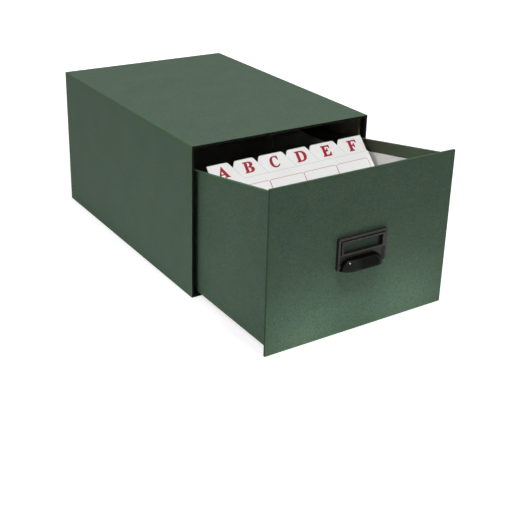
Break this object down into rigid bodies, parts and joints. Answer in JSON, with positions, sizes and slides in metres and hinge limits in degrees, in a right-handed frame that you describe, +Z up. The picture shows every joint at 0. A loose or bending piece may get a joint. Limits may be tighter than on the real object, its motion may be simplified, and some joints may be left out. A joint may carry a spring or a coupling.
{
  "type": "index card drawer",
  "caption": "Paper-covered board case, open at one end, with a sliding card drawer, a label plate with a cup pull, and leaning lettered index guides.",
  "frame": {"origin": "middle of the case's base, on the surface it stands on", "axes": "+Z up, +Y from the mouth towards the back of the case, so the drawer comes out along -Y; +X to the right seen from the front"},
  "size_m": [0.2507, 0.5299, 0.192],
  "materials": {
    "green_cover": "matt, fine grain",
    "black_paper": "matt",
    "black_board": "matt",
    "pale_lining": "matt",
    "grey_board": "raw board",
    "pull_enamel": "gloss black enamel",
    "bare_steel": "zinc plated",
    "guide_card": "smooth card",
    "blank_card": "smooth card, cut edges"
  },
  "bodies": {
    "case": {"case_top_board": "grey_board", "case_bottom_board": "grey_board", "case_left_board": "grey_board", "case_right_board": "grey_board", "case_back_board": "grey_board", "case_cover": "green_cover", "case_back_sheet": "green_cover", "case_base_sheet": "green_cover", "mouth_binding": "black_paper", "runner_board_left": "black_board", "runner_board_right": "black_board", "runner_board_bottom": "black_board", "case_lining": "black_paper"},
    "drawer": {"drawer_left_side": "grey_board", "drawer_right_side": "grey_board", "drawer_left_cover": "green_cover", "drawer_right_cover": "green_cover", "drawer_left_lining": "pale_lining", "drawer_right_lining": "pale_lining", "drawer_floor": "grey_board", "drawer_front_wall": "grey_board", "drawer_back_wall": "grey_board", "drawer_back_cover": "green_cover", "drawer_floor_lining": "pale_lining", "drawer_front_lining": "pale_lining", "drawer_back_lining": "pale_lining", "front_panel_board": "grey_board", "front_panel_cover": "green_cover", "front_panel_back_sheet": "green_cover", "label_plate": "pull_enamel", "cup_pull": "pull_enamel", "pull_rivets": "pull_enamel", "pull_washers": "bare_steel", "card_pack": "blank_card"},
    "guide_a": {"index_guide_a": "guide_card"},
    "guide_b": {"index_guide_b": "guide_card"},
    "guide_c": {"index_guide_c": "guide_card"},
    "guide_d": {"index_guide_d": "guide_card"},
    "guide_e": {"index_guide_e": "guide_card"},
    "guide_f": {"index_guide_f": "guide_card"}
  },
  "joints": [
    {"name": "drawer_slide", "type": "slide", "parent": "case", "child": "drawer", "axis": [0, -1, 0], "range_m": [-0.1528, 0.13]},
    {"name": "guide_a_lift", "type": "slide", "parent": "drawer", "child": "guide_a", "axis": [0, 0.6691, 0.7431], "range_m": [-0.026, 0.02]},
    {"name": "guide_b_lift", "type": "slide", "parent": "drawer", "child": "guide_b", "axis": [0, 0.6691, 0.7431], "range_m": [-0.026, 0.02]},
    {"name": "guide_c_lift", "type": "slide", "parent": "drawer", "child": "guide_c", "axis": [0, 0.6691, 0.7431], "range_m": [-0.026, 0.02]},
    {"name": "guide_d_lift", "type": "slide", "parent": "drawer", "child": "guide_d", "axis": [0, 0.6691, 0.7431], "range_m": [-0.026, 0.02]},
    {"name": "guide_e_lift", "type": "slide", "parent": "drawer", "child": "guide_e", "axis": [0, 0.6691, 0.7431], "range_m": [-0.026, 0.02]},
    {"name": "guide_f_lift", "type": "slide", "parent": "drawer", "child": "guide_f", "axis": [0, 0.6691, 0.7431], "range_m": [-0.026, 0.02]}
  ]
}
